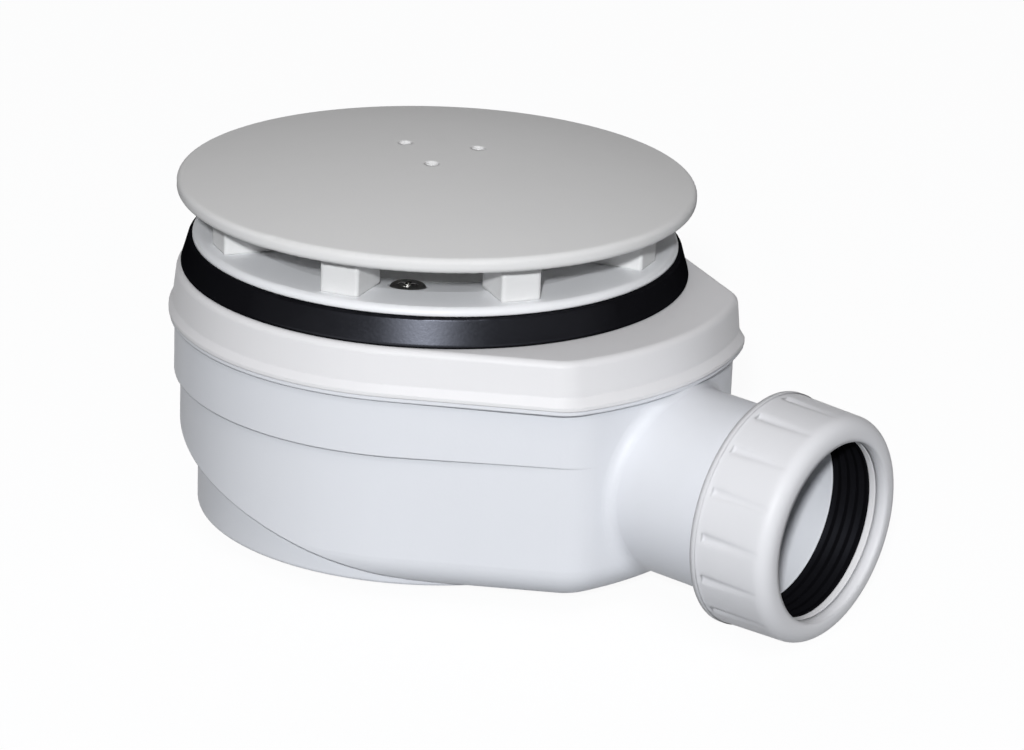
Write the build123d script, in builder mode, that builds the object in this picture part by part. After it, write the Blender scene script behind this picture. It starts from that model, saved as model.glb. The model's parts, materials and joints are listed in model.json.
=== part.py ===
"""Low shower trap: a welded pear-shaped body, a clamped waste flange under a domed cover,
a lift-out water seal and a compression outlet for a 40 mm pipe.

Millimetres. The waste axis is +Z, the outlet leaves towards +X, and z = 0 is the flat underside.
"""

import os
from math import acos, cos, degrees, radians, sin, sqrt, tan

from build123d import *

# Plan of the body: a round about the waste axis, drawn out to a blunt nose over the outlet
base_nose_angle = 24.0
base_corner_radius = 12.7
top_nose_angle = 27.0
top_corner_radius = 11.0

# Lower shell
wall = 2.5
band_radius = 60.0
band_nose = 71.8
step_inset = 1.5
step_height = 32.7
foot_height = 0.7
foot_radius = 7.4
ramp_slope = 13.8
ramp_height = 9.75
ramp_blend_start = 25.0
ramp_blend_radius = 120.0
ramp_end_slope = 3.0
bowl_radius = 54.2
bowl_edge_radius = 0.8

# Weld lip round both shells
seam_height = 47.1
lip_overhang_round = 1.4
lip_overhang_nose = 1.7
lower_lip = 1.0
upper_lip = 0.9
lip_flare = 2.4
lip_reveal = 0.25

# Upper shell
deck_height = 57.9
skirt_step_round = 0.8
skirt_step_nose = 0.7
skirt_draft = 1.2
deck_edge_radius = 1.6
collar_height = 1.8
collar_wall = 1.2

# Waste flange and what clamps it
flange_setback = 0.9
flange_rim = 1.8
flange_edge_radius = 1.4
flange_wall = 2.2
dish_radius = 44.5
dish_fall = 1.5
throat_radius = 31.0
throat_wall = 2.2
throat_end = 51.7
throat_clearance = 0.4
ledge_width = 3.0
ledge_depth = 1.6
screw_count = 4
screw_start_angle = 30.0
screw_circle = 39.6
screw_seat_depth = 1.3
screw_radius = 2.4
screw_clearance = 0.3
screw_head_radius = 4.2
screw_head_height = 2.6
screw_head_edge = 1.0
screw_head_clearance = 0.2
drive_length = 4.6
drive_width = 1.2
drive_depth = 1.4
screw_end = 49.2
pad_radius = 5.0
pad_depth = 3.0
insert_radius = 3.5
insert_length = 10.0
insert_clearance = 0.1
boss_radius = 5.0
boss_floor = 1.5

# Rubber ring under the tray
ring_height = 6.8
ring_inner_radius = 46.5
ring_width = 12.5
ring_taper = 2.0
ring_edge_radius = 0.8

# Domed cover on its legs
cover_radius = 59.8
cover_gap = 9.1
cover_rim = 3.2
cover_rise = 6.8
cover_wall = 2.6
cover_edge_radius = 1.3
rim_width = 2.8
leg_count = 8
leg_start_angle = 15.0
leg_outer_radius = 52.8
leg_length = 12.4
leg_width = 9.3
leg_wall = 1.6
leg_corner_radius = 0.8
leg_root = 0.2
hole_count = 3
hole_start_angle = 60.0
hole_circle = 9.8
hole_radius = 1.6

# Lift-out water seal: dip tube, its ring and the cup round it
tube_radius = 20.0
tube_wall = 1.8
tube_end = 9.7
tube_skirt_height = 9.0
tube_funnel_height = 5.0
insert_fit = 0.6
collar_clearance = 0.2
seal_cord_radius = 1.1
seal_squeeze_gap = 0.05
groove_clearance = 0.05
cup_rim = 46.7
cup_wall = 1.8
cup_rib_count = 4
cup_rib_height = 20.0
cup_rib_width = 1.8
cup_rib_clearance = 0.2

# Compression outlet, measured along its own axis from the waste axis
outlet_height = 26.8
outlet_fall = 2.1
neck_radius = 21.65
neck_bore = 18.6
neck_fillet = 3.0
pipe_bore = 20.2
pipe_stop = 88.0
spigot_start = 95.2
spigot_end = 107.0
spigot_radius = 23.2
spigot_chamfer = 0.5
seal_depth = 7.2
seal_seat_radius = 22.0
outlet_seal_bore = 20.5
outlet_seal_clearance = 0.15
outlet_seal_flange = 2.1
outlet_seal_flange_radius = 23.2
outlet_seal_groove = 0.45
outlet_seal_groove_count = 4
washer_thickness = 1.5
washer_gap = 0.25
nut_start = 94.5
nut_end = 113.9
thread_room = 0.8
nut_rear_radius = 26.6
nut_front_radius = 26.0
nut_rim_width = 1.3
nut_rim_height = 0.25
nut_mouth = 20.8
nut_nose_radius = 3.4
nut_mouth_radius = 1.5
flute_count = 16
flute_turn = 19.2
flute_radius = 1.4
flute_depth = 0.65
flute_start = 97.0
flute_end = 112.6

os.makedirs("parts", exist_ok=True)

# Heights and planes that follow from the sizes above
flange_seat = deck_height + ring_height
flange_top = flange_seat + flange_rim
cover_rim_bottom = flange_top + cover_gap
cover_rim_top = cover_rim_bottom + cover_rim
cover_top = cover_rim_top + cover_rise
dome_radius = (cover_radius**2 + cover_rise**2) / (2 * cover_rise)
ledge_radius = throat_radius + ledge_width
throat_outer = throat_radius + throat_wall
dish_low = flange_top - dish_fall
ledge_height = dish_low - ledge_depth
screw_seat = dish_low - screw_seat_depth
lower_radius = band_radius - step_inset
lip_radius = band_radius + lip_overhang_round
lip_nose = band_nose + lip_overhang_nose
skirt_radius = band_radius + skirt_step_round
skirt_nose = band_nose + skirt_step_nose
ring_foot_radius = ring_inner_radius + ring_width
ring_top_radius = ring_foot_radius - ring_taper
flange_radius = ring_top_radius - flange_setback
fall = radians(outlet_fall)
outlet_way = (cos(fall), 0, -sin(fall))
outlet_axis = Axis((0, 0, outlet_height), outlet_way)
outlet_section = Plane(origin=(0, 0, outlet_height), x_dir=outlet_way, z_dir=(0, -1, 0))
outlet_face = Plane(origin=(0, 0, outlet_height), x_dir=(0, 1, 0), z_dir=outlet_way)
waste_section = Plane.XZ
neck_root = sqrt((band_nose - wall) ** 2 - neck_radius**2) - wall
collar_radius = ring_inner_radius - collar_clearance
insert_radius_out = throat_radius - insert_fit
skirt_end = ledge_height - tube_skirt_height
funnel_end = skirt_end - tube_funnel_height
seal_level = ledge_height - tube_skirt_height / 2
groove_root = throat_radius - seal_squeeze_gap - 2 * seal_cord_radius - groove_clearance
seal_seat = spigot_end - seal_depth
seal_front = spigot_end + outlet_seal_flange
washer_back = seal_front + washer_gap
nut_shoulder = washer_back + washer_thickness + washer_gap


def polar(radius, angle):
    """Point of the plan at a radius and an angle from the outlet's direction."""
    return (radius * cos(radians(angle)), radius * sin(radians(angle)))


def body_plan(level, radius, nose, angle, corner):
    """The body's outline at one level: its round, two straight sides and the nose."""
    leave = angle + degrees(acos(radius / nose))
    with BuildSketch(Plane.XY.offset(level)) as plan:
        with BuildLine():
            CenterArc((0, 0), radius, leave, 360 - 2 * leave)
            Line(polar(radius, -leave), polar(nose, -angle))
            CenterArc((0, 0), nose, -angle, 2 * angle)
            Line(polar(nose, angle), polar(radius, leave))
        make_face()
        fillet(plan.vertices().sort_by(Axis.X)[-2:], corner)
    return plan.sketch


def base_plan(level, radius, inset=0.0):
    """Outline of the lower shell, or of its inner face, at one level."""
    return body_plan(level, radius - inset, band_nose - inset, base_nose_angle, base_corner_radius - inset)


def top_plan(level, radius, nose, inset=0.0):
    """Outline of the upper shell, its lip or its inner face at one level."""
    return body_plan(level, radius - inset, nose - inset, top_nose_angle, top_corner_radius - inset)


def under_ramp(offset):
    """Section of the space under the ramp, or under a face parallel to it inside the shell."""
    steep = radians(ramp_slope)
    flat = radians(ramp_end_slope)
    bend = ramp_blend_radius - offset
    start_x = ramp_blend_start + offset * sin(steep)
    start_z = ramp_height - ramp_blend_start * tan(steep) + offset * cos(steep)
    end_x = start_x + bend * (sin(steep) - sin(flat))
    end_z = start_z - bend * (cos(flat) - cos(steep))
    back_x = start_x - 2 * band_radius
    back_z = start_z + 2 * band_radius * tan(steep)
    with BuildSketch(waste_section) as section:
        with BuildLine():
            Polyline((end_x, end_z), (end_x, -wall), (back_x, -wall), (back_x, back_z), (start_x, start_z))
            TangentArc((start_x, start_z), (end_x, end_z), tangent=(cos(steep), -sin(steep)))
        make_face()
    return section.sketch


def dome(radius, top):
    """Height of the cover's dome, or of a face below it, at a radius."""
    return top - dome_radius + sqrt(dome_radius**2 - radius**2)


# Space inside the lower shell: the ramped floor, the bowl and the way out
with BuildPart() as chamber:
    extrude(base_plan(foot_height + wall, lower_radius, wall), amount=step_height - foot_height)
    fillet(chamber.faces().sort_by(Axis.Z)[0].edges(), foot_radius - wall)
    extrude(under_ramp(wall), amount=2 * band_radius, both=True, mode=Mode.SUBTRACT)
    extrude(base_plan(step_height, band_radius, wall), amount=seam_height - step_height)
    with BuildSketch(Plane.XY.offset(wall)):
        Circle(bowl_radius - wall)
    extrude(amount=step_height - wall)
    with BuildSketch(outlet_face):
        Circle(neck_bore)
    extrude(amount=pipe_stop)
    with BuildSketch(outlet_face.offset(pipe_stop)):
        Circle(pipe_bore)
    extrude(amount=spigot_end - pipe_stop)
    with BuildSketch(outlet_face.offset(seal_seat)):
        Circle(seal_seat_radius)
    extrude(amount=spigot_end - seal_seat)
    split(bisect_by=Plane.XY.offset(seam_height), keep=Keep.BOTTOM)

# Lower shell: band, stepped wall, ramped foot, round bowl, neck and threaded spigot in one moulding
with BuildPart() as body_base:
    extrude(base_plan(foot_height, lower_radius), amount=step_height - foot_height)
    fillet(body_base.faces().sort_by(Axis.Z)[0].edges(), foot_radius)
    extrude(under_ramp(0), amount=2 * band_radius, both=True, mode=Mode.SUBTRACT)
    extrude(base_plan(step_height, band_radius), amount=deck_height - step_height)
    with BuildSketch(outlet_face.offset(neck_root)):
        Circle(neck_radius)
    extrude(amount=spigot_end - neck_root)
    root = body_base.edges().filter_by(lambda e: band_nose - foot_radius < e.center().X < band_nose + wall)
    fillet(root.filter_by(GeomType.BSPLINE), neck_fillet)
    split(bisect_by=Plane.XY.offset(seam_height), keep=Keep.BOTTOM)
    with BuildSketch(waste_section):
        with BuildLine():
            Polyline((0, 0), (bowl_radius, 0), (bowl_radius, step_height), (0, step_height), close=True)
        bowl = make_face()
        fillet(bowl.vertices().group_by(Axis.Y)[0].sort_by(Axis.X)[-1], bowl_edge_radius)
    revolve(axis=Axis.Z)
    extrude(top_plan(seam_height - lower_lip, lip_radius, lip_nose, lip_reveal), amount=lower_lip)
    with BuildSketch(outlet_face.offset(spigot_start)):
        Circle(spigot_radius)
    extrude(amount=spigot_end - spigot_start)
    chamfer(body_base.edges().sort_by(Axis.X)[-1], spigot_chamfer)
    add(chamber.part, mode=Mode.SUBTRACT)
body_base.part.label = "body_base"
export_step(body_base.part, "parts/body_base.step")

# Upper shell: flat deck, drafted skirt and weld lip, with a collar that centres the rubber ring,
# four insert bosses under the deck and a round way through for the flange's throat
with BuildPart() as body_top:
    foot = top_plan(seam_height, skirt_radius, skirt_nose)
    brow = top_plan(deck_height, skirt_radius, skirt_nose, skirt_draft)
    loft([foot.face(), brow.face()], ruled=True)
    fillet(body_top.faces().sort_by(Axis.Z)[-1].edges(), deck_edge_radius)
    extrude(top_plan(seam_height, lip_radius, lip_nose), amount=upper_lip)
    flare_foot = top_plan(seam_height + upper_lip, lip_radius, lip_nose)
    flare_head = top_plan(seam_height + upper_lip + lip_flare, skirt_radius, skirt_nose, skirt_draft / 2)
    loft([flare_foot.face(), flare_head.face()], ruled=True)
    inner_foot = top_plan(seam_height, skirt_radius, skirt_nose, wall)
    inner_brow = top_plan(deck_height - wall, skirt_radius, skirt_nose, skirt_draft + wall)
    loft([inner_foot.face(), inner_brow.face()], ruled=True, mode=Mode.SUBTRACT)
    with BuildSketch(Plane.XY.offset(deck_height)):
        Circle(collar_radius)
        Circle(collar_radius - collar_wall, mode=Mode.SUBTRACT)
    extrude(amount=collar_height)
    with BuildSketch(Plane.XY.offset(deck_height - wall)):
        with PolarLocations(screw_circle, screw_count, screw_start_angle):
            Circle(boss_radius)
    extrude(amount=-(insert_length + boss_floor - wall))
    with BuildSketch(Plane.XY.offset(deck_height)):
        with PolarLocations(screw_circle, screw_count, screw_start_angle):
            Circle(insert_radius + insert_clearance)
    extrude(amount=-insert_length, mode=Mode.SUBTRACT)
    with BuildSketch(Plane.XY.offset(deck_height)):
        Circle(throat_outer + throat_clearance)
    extrude(amount=seam_height - deck_height, mode=Mode.SUBTRACT)
body_top.part.label = "body_top"
export_step(body_top.part, "parts/body_top.step")

# Brass inserts pressed into the bosses from above
with BuildPart() as screw_inserts:
    with BuildSketch(Plane.XY.offset(deck_height)):
        with PolarLocations(screw_circle, screw_count, screw_start_angle):
            Circle(insert_radius)
            Circle(screw_radius + insert_clearance, mode=Mode.SUBTRACT)
    extrude(amount=-insert_length)
screw_inserts.part.label = "screw_inserts"
export_step(screw_inserts.part, "parts/screw_inserts.step")

# Rubber ring that the tray presses on to the deck, a little wider at its foot
with BuildPart() as tray_seal_ring:
    with BuildSketch(waste_section):
        with BuildLine():
            Polyline(
                (ring_inner_radius, deck_height),
                (ring_foot_radius, deck_height),
                (ring_top_radius, flange_seat),
                (ring_inner_radius, flange_seat),
                close=True,
            )
        section = make_face()
        fillet(section.vertices().sort_by(Axis.X)[-2:], ring_edge_radius)
    revolve(axis=Axis.Z)
tray_seal_ring.part.label = "tray_seal_ring"
export_step(tray_seal_ring.part, "parts/tray_seal_ring.step")

# Waste flange: rounded rim, shallow dish, a ledge for the lift-out seal and a throat into the body
with BuildPart() as waste_flange:
    with BuildSketch(waste_section):
        with BuildLine():
            Polyline(
                (throat_radius, throat_end),
                (throat_outer, throat_end),
                (throat_outer, dish_low - flange_wall),
                (dish_radius, flange_top - flange_wall),
                (ring_inner_radius, flange_seat),
                (flange_radius, flange_seat),
                (flange_radius, flange_top),
                (dish_radius, flange_top),
                (ledge_radius, dish_low),
                (ledge_radius, ledge_height),
                (throat_radius, ledge_height),
                close=True,
            )
        section = make_face()
        rim_edge = section.vertices().group_by(Axis.X)[-1].sort_by(Axis.Y)[-1]
        fillet(rim_edge, flange_edge_radius)
    revolve(axis=Axis.Z)
    with BuildSketch(Plane.XY.offset(screw_seat)):
        with PolarLocations(screw_circle, screw_count, screw_start_angle):
            Circle(pad_radius)
    extrude(amount=-pad_depth)
    with BuildSketch(Plane.XY.offset(screw_seat)):
        with PolarLocations(screw_circle, screw_count, screw_start_angle):
            Circle(screw_head_radius + screw_head_clearance)
    extrude(amount=flange_top - screw_seat, mode=Mode.SUBTRACT)
    with BuildSketch(Plane.XY.offset(screw_seat)):
        with PolarLocations(screw_circle, screw_count, screw_start_angle):
            Circle(screw_radius + screw_clearance)
    extrude(amount=-pad_depth, mode=Mode.SUBTRACT)
waste_flange.part.label = "waste_flange"
export_step(waste_flange.part, "parts/waste_flange.step")

# Pan-head steel screws that draw the flange down on the tray
with BuildPart() as flange_screws:
    with BuildSketch(Plane.XY.offset(screw_seat)):
        with PolarLocations(screw_circle, screw_count, screw_start_angle):
            Circle(screw_head_radius)
    extrude(amount=screw_head_height)
    fillet(flange_screws.faces().group_by(Axis.Z)[-1].edges(), screw_head_edge)
    with BuildSketch(Plane.XY.offset(screw_seat)):
        with PolarLocations(screw_circle, screw_count, screw_start_angle):
            Circle(screw_radius)
    extrude(amount=screw_end - screw_seat)
    with BuildSketch(Plane.XY.offset(screw_seat + screw_head_height)):
        with PolarLocations(screw_circle, screw_count, screw_start_angle):
            Rectangle(drive_length, drive_width)
            Rectangle(drive_width, drive_length)
    extrude(amount=-drive_depth, mode=Mode.SUBTRACT)
flange_screws.part.label = "flange_screws"
export_step(flange_screws.part, "parts/flange_screws.step")

# Cup that holds the water seal, standing on the bowl's floor and centred on the dip tube by its ribs
with BuildPart() as trap_cup:
    with BuildSketch(Plane.XY.offset(wall)):
        Circle(insert_radius_out)
    extrude(amount=cup_rim - wall)
    with BuildSketch(Plane.XY.offset(wall + cup_wall)):
        Circle(insert_radius_out - cup_wall)
    extrude(amount=cup_rim - wall - cup_wall, mode=Mode.SUBTRACT)
    rib_length = insert_radius_out - cup_wall / 2 - tube_radius - cup_rib_clearance
    with BuildSketch(Plane.XY.offset(cup_rim - cup_rib_height)):
        with PolarLocations(tube_radius + cup_rib_clearance + rib_length / 2, cup_rib_count):
            Rectangle(rib_length, cup_rib_width)
    extrude(amount=cup_rib_height)
trap_cup.part.label = "trap_cup"
export_step(trap_cup.part, "parts/trap_cup.step")

# Dip tube: collar on the flange's ledge, grooved skirt in the throat, funnel and tube into the cup
with BuildPart() as dip_tube:
    with BuildSketch(waste_section):
        with BuildLine():
            Polyline(
                (tube_radius - tube_wall, tube_end),
                (tube_radius, tube_end),
                (tube_radius, funnel_end - tube_wall),
                (insert_radius_out, skirt_end - tube_wall),
                (insert_radius_out, seal_level - seal_cord_radius - groove_clearance),
                (groove_root, seal_level - seal_cord_radius - groove_clearance),
                (groove_root, seal_level + seal_cord_radius + groove_clearance),
                (insert_radius_out, seal_level + seal_cord_radius + groove_clearance),
                (insert_radius_out, ledge_height),
                (ledge_radius - collar_clearance, ledge_height),
                (ledge_radius - collar_clearance, ledge_height + tube_wall),
                (groove_root - tube_wall, ledge_height + tube_wall),
                (groove_root - tube_wall, skirt_end),
                (tube_radius - tube_wall, funnel_end),
                close=True,
            )
        make_face()
    revolve(axis=Axis.Z)
dip_tube.part.label = "dip_tube"
export_step(dip_tube.part, "parts/dip_tube.step")

# Rubber ring in the dip tube's groove
with BuildPart() as dip_tube_seal:
    with BuildSketch(waste_section):
        with Locations((throat_radius - seal_squeeze_gap - seal_cord_radius, seal_level)):
            Circle(seal_cord_radius)
    revolve(axis=Axis.Z)
dip_tube_seal.part.label = "dip_tube_seal"
export_step(dip_tube_seal.part, "parts/dip_tube_seal.step")

# Domed cover: even shell with a deeper rim, legs cored out from the inside and three round holes
with BuildPart() as cover_cap:
    with BuildSketch(waste_section):
        with BuildLine():
            Line((0, cover_top), (0, cover_top - cover_wall))
            RadiusArc(
                (0, cover_top - cover_wall),
                (cover_radius - rim_width, dome(cover_radius - rim_width, cover_top - cover_wall)),
                dome_radius,
            )
            Polyline(
                (cover_radius - rim_width, dome(cover_radius - rim_width, cover_top - cover_wall)),
                (cover_radius - rim_width, cover_rim_bottom),
                (cover_radius, cover_rim_bottom),
                (cover_radius, cover_rim_top),
            )
            RadiusArc((cover_radius, cover_rim_top), (0, cover_top), -dome_radius)
        section = make_face()
        fillet(section.vertices().group_by(Axis.X)[-1], cover_edge_radius)
    revolve(axis=Axis.Z)
    leg_top = dome(leg_outer_radius - leg_length, cover_top - cover_wall) + leg_root
    with BuildSketch(Plane.XY.offset(flange_top)):
        with PolarLocations(leg_outer_radius - leg_length / 2, leg_count, leg_start_angle):
            RectangleRounded(leg_length, leg_width, leg_corner_radius)
        with PolarLocations(leg_outer_radius - leg_wall - leg_length / 2, leg_count, leg_start_angle):
            Rectangle(leg_length, leg_width - 2 * leg_wall, mode=Mode.SUBTRACT)
    extrude(amount=leg_top - flange_top)
    with BuildSketch(Plane.XY.offset(cover_rim_bottom)):
        with PolarLocations(hole_circle, hole_count, hole_start_angle):
            Circle(hole_radius)
    extrude(amount=cover_top - cover_rim_bottom, mode=Mode.SUBTRACT)
cover_cap.part.label = "cover_cap"
export_step(cover_cap.part, "parts/cover_cap.step")

# Rubber pipe seal: a sleeve in the spigot's seat with grip ridges inside and a flange on its mouth
with BuildPart() as outlet_seal:
    ridge = (seal_front - seal_seat) / outlet_seal_groove_count
    with BuildSketch(outlet_section):
        with BuildLine():
            inner = [(seal_seat, outlet_seal_bore)]
            for turn in range(outlet_seal_groove_count):
                crest = seal_seat + turn * ridge
                inner.append((crest + ridge / 2, outlet_seal_bore + outlet_seal_groove))
                inner.append((crest + ridge, outlet_seal_bore))
            Polyline(
                *inner,
                (seal_front, outlet_seal_flange_radius),
                (spigot_end, outlet_seal_flange_radius),
                (spigot_end, seal_seat_radius - outlet_seal_clearance),
                (seal_seat, seal_seat_radius - outlet_seal_clearance),
                close=True,
            )
        make_face()
    revolve(axis=outlet_axis)
outlet_seal.part.label = "outlet_seal"
export_step(outlet_seal.part, "parts/outlet_seal.step")

# Slip washer between the turning nut and the seal
with BuildPart() as slip_washer:
    with BuildSketch(outlet_face.offset(washer_back)):
        Circle(outlet_seal_flange_radius)
        Circle(nut_mouth, mode=Mode.SUBTRACT)
    extrude(amount=washer_thickness)
slip_washer.part.label = "slip_washer"
export_step(slip_washer.part, "parts/slip_washer.step")

# Compression nut: rear rim, gently tapered grip with hollow flutes, rounded nose and pipe mouth
with BuildPart() as outlet_nut:
    with BuildSketch(outlet_section):
        with BuildLine():
            Polyline(
                (nut_start, spigot_radius + thread_room),
                (nut_start, nut_rear_radius + nut_rim_height),
                (nut_start + nut_rim_width, nut_rear_radius + nut_rim_height),
                (nut_start + nut_rim_width, nut_rear_radius),
                (nut_end, nut_front_radius),
                (nut_end, nut_mouth),
                (nut_shoulder, nut_mouth),
                (nut_shoulder, spigot_radius + thread_room),
                close=True,
            )
        section = make_face()
        front = section.vertices().group_by(Axis.X)[-1].sort_by(Axis.Y)
        fillet(front[-1], nut_nose_radius)
        fillet(section.vertices().group_by(Axis.X)[-1].sort_by(Axis.Y)[0], nut_mouth_radius)
    revolve(axis=outlet_axis)
    with BuildSketch(outlet_face.offset(flute_start)):
        with PolarLocations(nut_rear_radius - flute_depth + flute_radius, flute_count, flute_turn):
            Circle(flute_radius)
    extrude(amount=flute_end - flute_start, mode=Mode.SUBTRACT)
outlet_nut.part.label = "outlet_nut"
export_step(outlet_nut.part, "parts/outlet_nut.step")
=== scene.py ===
"""Looks of a low shower trap: a white moulded body, a rubber ring under the tray, a domed cover and
a compression outlet. Metres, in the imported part's frame: the waste axis is +Z, the outlet leaves towards +X.
"""

import json
from math import cos, pi, radians, sin

import bmesh
import bpy
from mathutils import Matrix, Vector


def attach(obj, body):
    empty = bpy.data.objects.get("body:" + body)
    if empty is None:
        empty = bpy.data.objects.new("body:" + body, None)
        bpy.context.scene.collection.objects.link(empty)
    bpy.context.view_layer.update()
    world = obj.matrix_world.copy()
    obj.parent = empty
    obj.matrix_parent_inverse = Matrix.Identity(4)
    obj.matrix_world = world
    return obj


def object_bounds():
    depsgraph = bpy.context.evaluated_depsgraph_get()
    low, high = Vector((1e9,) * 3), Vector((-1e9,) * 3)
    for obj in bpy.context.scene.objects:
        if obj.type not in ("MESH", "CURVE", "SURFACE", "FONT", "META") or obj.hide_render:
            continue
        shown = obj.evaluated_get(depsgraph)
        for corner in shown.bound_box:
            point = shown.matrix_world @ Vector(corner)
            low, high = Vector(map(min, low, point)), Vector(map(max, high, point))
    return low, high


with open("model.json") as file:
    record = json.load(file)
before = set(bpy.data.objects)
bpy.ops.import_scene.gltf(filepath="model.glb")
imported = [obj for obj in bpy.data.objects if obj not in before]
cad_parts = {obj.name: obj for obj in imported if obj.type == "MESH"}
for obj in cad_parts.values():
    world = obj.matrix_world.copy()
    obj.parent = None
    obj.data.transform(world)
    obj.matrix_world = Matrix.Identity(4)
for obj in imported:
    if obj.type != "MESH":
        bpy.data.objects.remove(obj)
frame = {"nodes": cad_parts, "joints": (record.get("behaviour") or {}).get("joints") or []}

cad_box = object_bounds()


# Lower shell
# The lower half of the body with its bowl, neck and spigot, injection moulded in one piece from a cool
# white polypropylene. The moulding is satin with edges softened by the tool, and shade is painted into its
# creases.
class Wire:
    """A socket in a material. Sums of wires and numbers add the Math nodes that they need."""

    def __init__(self, tree, socket):
        self.tree = tree
        self.socket = socket

    def node(self, kind, settings=None, inputs=None, output=0):
        """Adds a node: its settings first, then the values or links of its sockets. Gives one output."""
        node = self.tree.nodes.new(kind)
        for name, value in (settings or {}).items():
            setattr(node, name, value)
        for name, value in (inputs or {}).items():
            if isinstance(value, Wire):
                self.tree.links.new(value.socket, node.inputs[name])
            else:
                node.inputs[name].default_value = value
        return Wire(self.tree, node.outputs[output])

    def __add__(self, other):
        return self.node("ShaderNodeMath", {"operation": "ADD"}, {0: self, 1: other})

    def __radd__(self, other):
        return self.node("ShaderNodeMath", {"operation": "ADD"}, {0: other, 1: self})

    def __sub__(self, other):
        return self.node("ShaderNodeMath", {"operation": "SUBTRACT"}, {0: self, 1: other})

    def __rsub__(self, other):
        return self.node("ShaderNodeMath", {"operation": "SUBTRACT"}, {0: other, 1: self})

    def __mul__(self, other):
        return self.node("ShaderNodeMath", {"operation": "MULTIPLY"}, {0: self, 1: other})

    def __rmul__(self, other):
        return self.node("ShaderNodeMath", {"operation": "MULTIPLY"}, {0: other, 1: self})


def start_finish(name, constants):
    """A new material: the material, its shader with the constant sockets set, and its Object coordinates."""
    material = bpy.data.materials.new(name)
    material.use_nodes = True
    tree = material.node_tree
    shader = tree.nodes["Principled BSDF"]
    for socket, value in constants.items():
        shader.inputs[socket].default_value = value
    place = Wire(tree, tree.nodes.new("ShaderNodeTexCoord").outputs["Object"])
    return material, shader, place


def noise(place, scale, detail=2.0):
    """Cloudy values about a half, with scale features to the metre."""
    return place.node("ShaderNodeTexNoise", None, {"Vector": place, "Scale": scale, "Detail": detail})


def blend_colours(factor, first, second):
    """The first colour where the factor is 0 and the second where it is 1."""
    return factor.node("ShaderNodeMix", {"data_type": "RGBA"}, {0: factor, 6: first, 7: second}, 2)


def soft_edges(place, radius):
    """Normals that round the edges off at a radius."""
    return place.node("ShaderNodeBevel", {"samples": 8}, {"Radius": radius})


def fine_bump(height, strength, distance, normal):
    """Normals with a fine relief laid over them."""
    inputs = {"Strength": strength, "Distance": distance, "Height": height, "Normal": normal}
    return height.node("ShaderNodeBump", None, inputs)


def feed(shader, wires):
    """Links wires to the shader's sockets by name."""
    for socket, wire in wires.items():
        wire.tree.links.new(wire.socket, shader.inputs[socket])


def dress(node, material):
    """Gives a CAD node its finish."""
    for slot in frame["nodes"][node].material_slots:
        slot.material = material


def moulded_plastic(
    name, tone, shade, roughness=0.46, edge=0.0005, crease=0.6, grain_scale=1400.0, grain_height=0.00003
):
    """Injection moulded plastic: cloudy tone, painted shade in the creases, uneven satin, a fine skin and soft
    edges.
    """
    material, shader, place = start_finish(name, {"Specular IOR Level": 0.32, "IOR": 1.49})
    cloud = noise(place, scale=26.0, detail=3.0)
    drawn_out = place.node("ShaderNodeMapping", None, {"Vector": place, "Scale": (1.0, 1.0, 0.12)})
    streaks = noise(drawn_out, scale=160.0)
    skin = noise(place, grain_scale)
    # Painted shade: an ambient occlusion mask darkens the colour towards a darker copy of the shade colour in
    # creases and hollows.
    creases = {"samples": 8, "only_local": True}
    shade_mask = place.node("ShaderNodeAmbientOcclusion", creases, {"Distance": 0.002}, "AO")
    painted_crease_shade = [crease * channel for channel in shade[:3]] + [1.0]
    clean = blend_colours(0.7 * cloud + 0.3 * streaks, tone, shade)
    rounded = soft_edges(place, edge)
    relief = fine_bump(skin + 0.5 * streaks, strength=0.5, distance=grain_height, normal=rounded)
    feed(
        shader,
        {
            "Base Color": blend_colours(shade_mask, painted_crease_shade, clean),
            "Roughness": roughness + 0.12 * (cloud - 0.5) + 0.1 * (skin - 0.5),
            "Normal": relief,
        },
    )
    return material


lower_tone = (0.825, 0.842, 0.88, 1.0)
lower_shade = (0.775, 0.792, 0.835, 1.0)
lower_white = moulded_plastic("cool_white", lower_tone, lower_shade)
dress("body_base", lower_white)


# Spigot thread
# The coarse thread that the nut runs on, moulded round the spigot in one piece with the lower shell.
# Three turns at a three millimetre pitch, with flat crests that stay clear of the nut's bore.
nut_turn = next(joint for joint in frame["joints"] if joint["name"] == "nut_turn")
outlet_way = Vector(nut_turn["axis"]).normalized()
nut_back = Vector(nut_turn["pos_m"])
thread_pitch = 0.003
thread_turns = 3
steps_per_turn = 96
thread_root = 0.0230
thread_crest = 0.02375
# Each corner: its way along the outlet from the nut's back, and its way out from the outlet's axis.
thread_section = [
    (0.0016, thread_root),
    (0.0022, thread_crest),
    (0.0027, thread_crest),
    (0.0033, thread_root),
]
thread_side = outlet_way.orthogonal().normalized()
thread_form = bmesh.new()
section_corners = [
    thread_form.verts.new(nut_back + along * outlet_way + out * thread_side) for along, out in thread_section
]
bmesh.ops.spin(
    thread_form,
    geom=[thread_form.faces.new(section_corners)],
    cent=nut_back,
    axis=outlet_way,
    dvec=thread_pitch / steps_per_turn * outlet_way,
    angle=2 * pi * thread_turns,
    steps=thread_turns * steps_per_turn,
)
bmesh.ops.recalc_face_normals(thread_form, faces=thread_form.faces)
thread_mesh = bpy.data.meshes.new("spigot_thread")
thread_form.to_mesh(thread_mesh)
thread_form.free()
thread_mesh.materials.append(lower_white)
thread = bpy.data.objects.new("spigot_thread", thread_mesh)
bpy.context.scene.collection.objects.link(thread)
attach(thread, "trap")


# Upper shell
# The upper half with the flat deck that carries the tray, moulded in a slightly warmer white and
# welded to the lower half at the lip.
upper_tone = (0.865, 0.86, 0.872, 1.0)
upper_shade = (0.815, 0.81, 0.824, 1.0)
upper_white = moulded_plastic("warm_white", upper_tone, upper_shade)
dress("body_top", upper_white)


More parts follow.
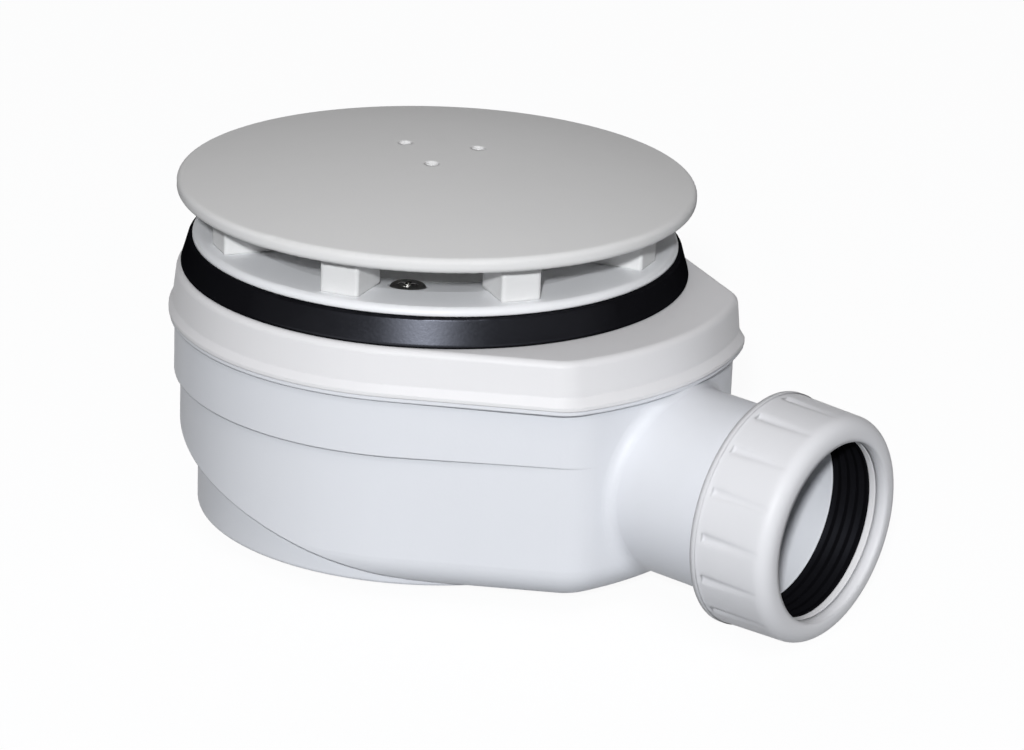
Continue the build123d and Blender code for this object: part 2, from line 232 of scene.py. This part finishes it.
# Screw inserts
# Four bushes turned from brass bar, with a fine tool mark round them and a cloudy tarnish. They are
# pressed hot into the bosses under the deck.
def turned_metal(name, tone, shade, roughness):
    """Bright turned metal with fine tool marks and a cloudy tarnish."""
    material, shader, place = start_finish(name, {"Metallic": 1.0})
    cloud = noise(place, scale=420.0, detail=3.0)
    drawn_out = place.node("ShaderNodeMapping", None, {"Vector": place, "Scale": (0.2, 0.2, 3.0)})
    marks = noise(drawn_out, scale=2600.0)
    rounded = soft_edges(place, radius=0.00015)
    relief = fine_bump(marks, strength=0.4, distance=0.00002, normal=rounded)
    feed(
        shader,
        {
            "Base Color": blend_colours(cloud, tone, shade),
            "Roughness": roughness + 0.2 * (marks - 0.5),
            "Normal": relief,
        },
    )
    return material


brass_tone = (0.72, 0.54, 0.25, 1.0)
brass_shade = (0.58, 0.42, 0.19, 1.0)
dress("screw_inserts", turned_metal("turned_brass", brass_tone, brass_shade, roughness=0.35))


# Tray ring
# A thick black rubber ring on the deck, moulded in one piece and squeezed by the tray above it. Its
# skin has a narrow bluish sheen that dies away where the ring turns from the eye.
def black_rubber(name, gloss, roughness, grain_scale):
    """Moulded rubber: near black with a faint bloom, an uneven sheen, a dull turn and a fine grain."""
    tone = (0.004, 0.004, 0.005, 1.0)
    bloom = (0.009, 0.009, 0.011, 1.0)
    sheen = {"Specular IOR Level": gloss, "Specular Tint": (0.8, 0.84, 1.0, 1.0)}
    material, shader, place = start_finish(name, sheen)
    cloud = noise(place, scale=60.0, detail=4.0)
    grain = noise(place, grain_scale)
    colour = blend_colours(cloud, tone, bloom)
    rounded = soft_edges(place, radius=0.0003)
    relief = fine_bump(grain, strength=0.25, distance=0.00004, normal=rounded)
    feed(
        shader,
        {
            "Base Color": colour,
            "Roughness": roughness + 0.14 * (cloud - 0.5) + 0.1 * (grain - 0.5),
            "Normal": relief,
        },
    )
    dull_inputs = {"Base Color": colour, "Normal": relief, "Roughness": 0.8, "Specular IOR Level": 0.0}
    dull = place.node("ShaderNodeBsdfPrincipled", None, dull_inputs)
    turned_away = place.node("ShaderNodeLayerWeight", None, {"Blend": 0.5}, "Facing")
    fade = place.node("ShaderNodeMapRange", None, {"Value": turned_away, "From Min": 0.0, "From Max": 0.3})
    glossy = Wire(place.tree, shader.outputs["BSDF"])
    surface = place.node("ShaderNodeMixShader", None, {0: fade, 1: glossy, 2: dull})
    feed(place.tree.nodes["Material Output"], {"Surface": surface})
    return material


ring_rubber = black_rubber("tray_ring_rubber", gloss=0.66, roughness=0.33, grain_scale=1500.0)
dress("tray_seal_ring", ring_rubber)


# Waste flange
# The flange that clamps the tray on the ring, with a shallow dish and a throat into the body. Its tone
# is set brighter than the shells', and it is moulded with a smoother skin.
flange_tone = (0.91, 0.918, 0.935, 1.0)
flange_shade = (0.87, 0.88, 0.90, 1.0)
dress("waste_flange", moulded_plastic("flange_white", flange_tone, flange_shade, roughness=0.42))


# Flange screws
# Four pan-head screws of bright steel with a cross drive, turned down through the flange's dish into
# the brass inserts.
steel_tone = (0.46, 0.455, 0.44, 1.0)
steel_shade = (0.26, 0.255, 0.245, 1.0)
dress("flange_screws", turned_metal("bright_steel", steel_tone, steel_shade, roughness=0.2))


# Lift-out water seal
# The cup that holds the standing water and the dip tube in it, thin white mouldings that lift out
# through the flange for cleaning, with a rubber ring in the dip tube's groove.
insert_tone = (0.87, 0.87, 0.865, 1.0)
insert_shade = (0.82, 0.82, 0.81, 1.0)
thin_skin = {"roughness": 0.4, "edge": 0.0004, "grain_scale": 1100.0}
insert_white = moulded_plastic("insert_white", insert_tone, insert_shade, **thin_skin)
dress("trap_cup", insert_white)
dress("dip_tube", insert_white)
dress("dip_tube_seal", ring_rubber)


# Cover
# The domed cover on eight moulded legs, which stands loose on the flange. Its face is matt, from a
# spark-eroded tool, and a little warmer than the body.
cover_tone = (0.83, 0.83, 0.828, 1.0)
cover_shade = (0.79, 0.787, 0.783, 1.0)
matt_skin = {"roughness": 0.7, "edge": 0.0010, "grain_scale": 2600.0, "grain_height": 0.00005}
dress("cover_cap", moulded_plastic("matt_cover", cover_tone, cover_shade, **matt_skin))


# Outlet seal and washer
# A black rubber sleeve in the spigot's seat, which the nut squeezes on the pipe, and the thin white
# washer that lets the nut turn without dragging it.
dress("outlet_seal", black_rubber("pipe_seal_rubber", gloss=0.06, roughness=0.5, grain_scale=1900.0))
dress("slip_washer", upper_white)


# Compression nut
# The nut that is turned by hand to squeeze the seal, moulded in white with sunk grips. Its edges and
# grips are well rounded, so that it strips from the tool and is kind to the hand.
nut_tone = (0.85, 0.853, 0.878, 1.0)
nut_shade = (0.80, 0.803, 0.828, 1.0)
dress("outlet_nut", moulded_plastic("nut_white", nut_tone, nut_shade, edge=0.0021, crease=0.9))


# Floor and light
# A floor that shows white to the eye and in gloss and throws little light back, a small lamp just over
# the camera, a wide soft one above it, a wide low one at the back and a dim, even room.
floor_reach = 40.0
floor_glow = 1.38
floor_show = 0.68
floor_place = Matrix.Translation((0.0, 0.0, cad_box[0].z))
floor_form = bmesh.new()
bmesh.ops.create_grid(floor_form, x_segments=1, y_segments=1, size=floor_reach, matrix=floor_place)
floor_mesh = bpy.data.meshes.new("floor")
floor_form.to_mesh(floor_mesh)
floor_form.free()
floor = bpy.data.objects.new("floor", floor_mesh)
bpy.context.scene.collection.objects.link(floor)
paper = {"Base Color": (0.25, 0.255, 0.265, 1.0), "Roughness": 0.9, "Specular IOR Level": 0.0}
floor_white, floor_shader, floor_finish = start_finish("floor_white", paper)


def ray_is(kind):
    """1 for one kind of ray on the floor and 0 for the rest."""
    return floor_finish.node("ShaderNodeLightPath", None, None, kind)


seen = ray_is("Is Camera Ray") + ray_is("Is Glossy Ray") + ray_is("Is Transmission Ray")
glow = floor_finish.node("ShaderNodeEmission", None, {"Color": (1.0, 1.0, 1.0, 1.0), "Strength": floor_glow})
floor_lit = Wire(floor_finish.tree, floor_shader.outputs["BSDF"])
floor_surface = floor_finish.node("ShaderNodeMixShader", None, {0: floor_show * seen, 1: floor_lit, 2: glow})
feed(floor_finish.tree.nodes["Material Output"], {"Surface": floor_surface})
floor_mesh.materials.append(floor_white)

room = bpy.data.worlds.new("room")
room.use_nodes = True
room_shader = room.node_tree.nodes["Background"]
room_shader.inputs["Color"].default_value = (1.0, 0.985, 0.97, 1.0)
room_shader.inputs["Strength"].default_value = 0.08
bpy.context.scene.world = room


def towards(turn, rise):
    """Direction from the trap at an angle round the waste axis and an angle above the floor."""
    return Vector((cos(rise) * cos(turn), cos(rise) * sin(turn), sin(rise)))


def soft_lamp(name, turn, rise, size, level, colour):
    """A round lamp that lights a face turned to it with about its level of white."""
    distance = 2.2
    data = bpy.data.lights.new(name, "AREA")
    data.shape = "DISK"
    data.size = size
    data.energy = pi**2 * level * distance**2
    data.color = colour
    lamp = bpy.data.objects.new(name, data)
    lamp.location = aim + distance * towards(turn, rise)
    lamp.rotation_euler = towards(turn, rise).to_track_quat("Z", "Y").to_euler()
    bpy.context.scene.collection.objects.link(lamp)
    return lamp


aim = Vector((0.0150, 0.01143, 0.03158))
camera_turn = radians(-52.7)
cool_light = (0.965, 0.982, 1.0)
warm_light = (1.0, 0.955, 0.945)
soft_lamp(
    "front_lamp",
    turn=camera_turn - radians(3.5),
    rise=radians(24.5),
    size=0.12,
    level=0.78,
    colour=cool_light,
)
upper_lamp = soft_lamp(
    "upper_lamp",
    turn=camera_turn,
    rise=radians(55.0),
    size=1.4,
    level=0.17,
    colour=warm_light,
)
rear_lamp = soft_lamp(
    "rear_lamp",
    turn=camera_turn + pi,
    rise=radians(3.0),
    size=1.4,
    level=0.6,
    colour=cool_light,
)
# The wide lamps light the plastic without showing in its gloss.
for lamp in (upper_lamp, rear_lamp):
    lamp.visible_glossy = False


# Camera
# It looks at the trap's outlet side from a little above, through a long lens and with a slight roll,
# as the photograph does.
camera_distance = 0.982
camera_rise = radians(19.86)
camera_roll = radians(2.22)
back = towards(camera_turn, camera_rise)
level_right = Vector((-sin(camera_turn), cos(camera_turn), 0.0))
level_up = back.cross(level_right)
right = cos(camera_roll) * level_right + sin(camera_roll) * level_up
up = cos(camera_roll) * level_up - sin(camera_roll) * level_right
camera_data = bpy.data.cameras.new("camera")
camera_data.sensor_width = 36.0
camera_data.lens = 147.66
camera = bpy.data.objects.new("camera", camera_data)
camera_turned = Matrix((right, up, back)).transposed().to_4x4()
camera.matrix_world = Matrix.Translation(aim + camera_distance * back) @ camera_turned
bpy.context.scene.collection.objects.link(camera)
bpy.context.scene.camera = camera
bpy.context.scene.view_settings.view_transform = "Standard"
